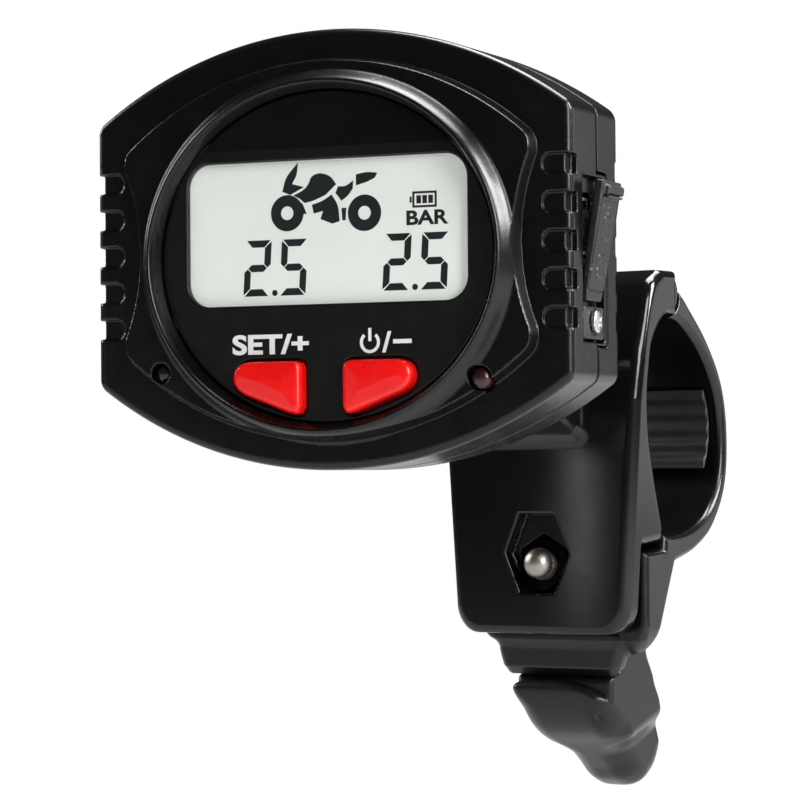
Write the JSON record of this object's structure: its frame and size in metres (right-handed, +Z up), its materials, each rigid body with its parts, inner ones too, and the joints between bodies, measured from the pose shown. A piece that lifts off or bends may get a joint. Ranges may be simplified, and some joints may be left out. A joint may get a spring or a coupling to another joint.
{
  "type": "tire pressure monitor",
  "caption": "Handlebar tire pressure monitor: shield-shaped display head with an LCD and red push buttons on a swivel arm, held by a hinged quick-release bar clamp.",
  "frame": {"origin": "on the axis of the handlebar that the clamp holds, midway between the clamp's two ends", "axes": "+X along the handlebar, +Z up, and the display looks towards -Y, turned 10 degrees about Z at rest"},
  "size_m": [0.0769, 0.1038, 0.1114],
  "materials": {
    "case_black": "satin moulded black",
    "fascia_black": "fine satin black with a gloss band",
    "window_clear": "clear, polished",
    "lcd_grey": "pale grey-green display glass",
    "holder_white": "matte white",
    "rubber_black": "matte moulded rubber",
    "button_red": "glossy red",
    "led_red": "tinted red, slightly frosted, unlit",
    "sensor_smoke": "smoked clear",
    "board_green": "solder mask green",
    "buzzer_black": "matte black",
    "cell_silver": "dull silver pouch",
    "nickel": "nickel plated",
    "steel": "bright zinc plated",
    "clamp_black": "soft-touch satin black",
    "lever_grey": "soft satin dark grey"
  },
  "bodies": {
    "clamp": {"clamp_front_jaw": "clamp_black", "jaw_hinge_pin": "steel", "front_jaw_pad": "rubber_black", "tension_bolt": "steel", "tension_nut": "steel", "cam_pin": "steel"},
    "rear_jaw": {"clamp_rear_jaw": "clamp_black", "rear_jaw_pad": "rubber_black", "cam_saddle": "holder_white"},
    "lever": {"cam_lever": "lever_grey"},
    "head": {"front_shell": "case_black", "rear_shell": "case_black", "shell_gasket": "rubber_black", "fascia_panel": "fascia_black", "window_lens": "window_clear", "lcd_cell": "lcd_grey", "lcd_holder": "holder_white", "zebra_strip_upper": "rubber_black", "zebra_strip_lower": "rubber_black", "switch_left": "nickel", "switch_right": "nickel", "alarm_led": "led_red", "light_sensor": "sensor_smoke", "main_board": "board_green", "usb_socket": "nickel", "battery_cell": "cell_silver", "radio_shield": "nickel", "buzzer": "buzzer_black", "antenna_coil": "nickel", "case_screw_1": "steel", "case_screw_2": "steel", "case_screw_3": "steel", "case_screw_4": "steel", "usb_flap_anchor": "rubber_black", "usb_flap_screw": "steel", "swivel_foot": "case_black", "foot_screw_1": "steel", "foot_screw_2": "steel", "foot_screw_3": "steel", "foot_screw_4": "steel", "friction_washer_upper": "rubber_black", "friction_washer_lower": "rubber_black", "swivel_screw": "steel", "swivel_nut": "steel"},
    "left_button": {"button_left": "button_red"},
    "right_button": {"button_right": "button_red"},
    "usb_cover": {"usb_flap": "rubber_black"}
  },
  "joints": [
    {"name": "cam_lever_turn", "type": "hinge", "parent": "clamp", "child": "lever", "pos_m": [0, 0.00286, -0.02492], "axis": [1, 0, 0], "range_deg": [0, 100]},
    {"name": "rear_jaw_turn", "type": "hinge", "parent": "clamp", "child": "rear_jaw", "pos_m": [0, -0.0046, 0.0209], "axis": [1, 0, 0], "range_deg": [0, 1.2]},
    {"name": "head_swivel", "type": "hinge", "parent": "clamp", "child": "head", "pos_m": [0, -0.0525, 0.0103], "axis": [0, 0, 1], "range_deg": [-55, 35]},
    {"name": "left_button_press", "type": "slide", "parent": "head", "child": "left_button", "axis": [-0.1736, 0.9848, 0], "range_m": [0, 0.0006], "stiffness_N_per_m": 300, "springref_m": -0.002},
    {"name": "right_button_press", "type": "slide", "parent": "head", "child": "right_button", "axis": [-0.1736, 0.9848, 0], "range_m": [0, 0.0006], "stiffness_N_per_m": 300, "springref_m": -0.002},
    {"name": "usb_cover_bend", "type": "hinge", "parent": "head", "child": "usb_cover", "pos_m": [0.03828, -0.06575, 0.0165], "axis": [-0.1736, 0.9848, 0], "range_deg": [-10, 80]}
  ],
  "couplings": [
    {"joint": "rear_jaw_turn", "follows": "cam_lever_turn", "ratio": 0.012}
  ]
}
